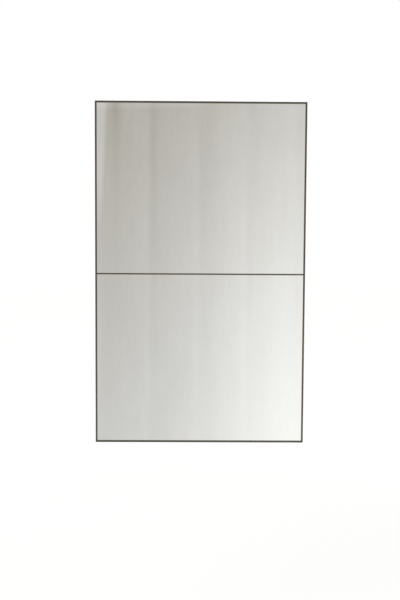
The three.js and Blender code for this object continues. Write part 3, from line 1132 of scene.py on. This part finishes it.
def makePaintedRoom():
    bm = bmesh.new()
    around = paintedRoom["segments"]
    bmesh.ops.create_uvsphere(bm, u_segments=around, v_segments=around // 2, radius=paintedRoom["radius"])
    bmesh.ops.translate(bm, verts=bm.verts, vec=paintedRoom["centre"])
    mesh = bpy.data.meshes.new("paintedRoom")
    bm.to_mesh(mesh)
    bm.free()
    mesh.materials.append(roomLight())
    dome = bpy.data.objects.new("paintedRoom", mesh)
    bpy.context.scene.collection.objects.link(dome)
    # painted reflection: the dome glows only for glossy rays, so it is seen only in the glass and the
    # metals
    dome.visible_camera = dome.visible_diffuse = dome.visible_shadow = False
    dome.visible_transmission = dome.visible_volume_scatter = False


makePaintedRoom()

# The floor lies well below the mirror, as under one that hangs on a wall
floor = {
    "below": 0.95,
    "size": 60,
    "colour": (0.80, 0.80, 0.79),
    "grain": {"perMetre": 40},
    "grained": {"colour": (0.7, 0.7, 0.69), "start": 0.3, "full": 0.7, "share": 0.04},
    "lift": (0.455, 0.60),  # what it adds to its own light to come out white: near the mirror, far off
    "liftWithin": (3.2, 6.0),
}


def makeFloor():
    f = Finish("pale_floor")
    matt = f.node("BsdfDiffuse")
    f.feed(matt.inputs["Color"], f.layer(floor["colour"], f.pattern(**floor["grain"]), **floor["grained"]))
    path = f.node("LightPath").outputs
    mirrored = f.math("MAXIMUM", path["Is Glossy Ray"], path["Is Transmission Ray"])
    seen = f.math("MAXIMUM", path["Is Camera Ray"], mirrored)
    away = f.node("VectorMath", operation="LENGTH")
    f.feed(away.inputs[0], f.coords())
    added = f.span(away.outputs["Value"], *floor["liftWithin"], *floor["lift"], smooth=True)
    lift = f.node("Emission")
    f.feed(lift.inputs["Strength"], f.math("MULTIPLY", seen, added))
    both = f.node("AddShader")
    f.feed(both.inputs[0], matt.outputs[0])
    f.feed(both.inputs[1], lift.outputs[0])
    f.feed(f.output.inputs["Surface"], both.outputs[0])
    f.material.cycles.emission_sampling = "NONE"
    half = floor["size"] / 2
    height = bottomEdge - floor["below"]
    corners = [(x * half, y * half, height) for x, y in ((-1, -1), (1, -1), (1, 1), (-1, 1))]
    mesh = bpy.data.meshes.new("floor")
    mesh.from_pydata(corners, [], [(0, 1, 2, 3)])
    mesh.materials.append(f.material)
    plane = bpy.data.objects.new("floor", mesh)
    bpy.context.scene.collection.objects.link(plane)
    plane.visible_glossy = False


makeFloor()

# Soft studio light: an even world and four large lamps, none of them seen in the glass
lamps = {
    "key": {"place": (-2.6, -3.4, 2.2), "size": 2.4, "power": 34},
    "fill": {"place": (3.0, -3.0, 1.0), "size": 2.8, "power": 20},
    "behindLeft": {"place": (-2.8, 3.0, 1.8), "size": 2.4, "power": 30},
    "behindRight": {"place": (2.8, 3.2, 0.9), "size": 2.6, "power": 20},
}
world = {"light": 0.5, "backdrop": 1.0}


def makeLight():
    aim = Vector(paintedRoom["centre"])
    for name, lamp in lamps.items():
        data = bpy.data.lights.new(name, "AREA")
        data.size = lamp["size"]
        data.energy = lamp["power"]
        made = bpy.data.objects.new(name, data)
        made.location = lamp["place"]
        made.rotation_euler = (aim - made.location).to_track_quat("-Z", "Y").to_euler()
        made.visible_glossy = False
        made.visible_camera = False
        bpy.context.scene.collection.objects.link(made)
    sky = bpy.data.worlds.new("studio")
    bpy.context.scene.world = sky
    sky.use_nodes = True
    tree = sky.node_tree
    tree.nodes.clear()
    path = tree.nodes.new("ShaderNodeLightPath").outputs
    backdrop = path["Is Camera Ray"]
    for kind in ("Is Glossy Ray", "Is Transmission Ray"):
        larger = tree.nodes.new("ShaderNodeMath")
        larger.operation = "MAXIMUM"
        tree.links.new(backdrop, larger.inputs[0])
        tree.links.new(path[kind], larger.inputs[1])
        backdrop = larger.outputs[0]
    strength = tree.nodes.new("ShaderNodeMapRange")
    strength.inputs["To Min"].default_value = world["light"]
    strength.inputs["To Max"].default_value = world["backdrop"]
    tree.links.new(backdrop, strength.inputs["Value"])
    shine = tree.nodes.new("ShaderNodeBackground")
    shine.inputs["Color"].default_value = (1, 1, 1, 1)
    tree.links.new(strength.outputs["Result"], shine.inputs["Strength"])
    output = tree.nodes.new("ShaderNodeOutputWorld")
    tree.links.new(shine.outputs[0], output.inputs["Surface"])
    sky.cycles.sampling_method = "NONE"


makeLight()
bpy.context.scene.view_settings.view_transform = "Standard"
print("camera, room, floor and light made")
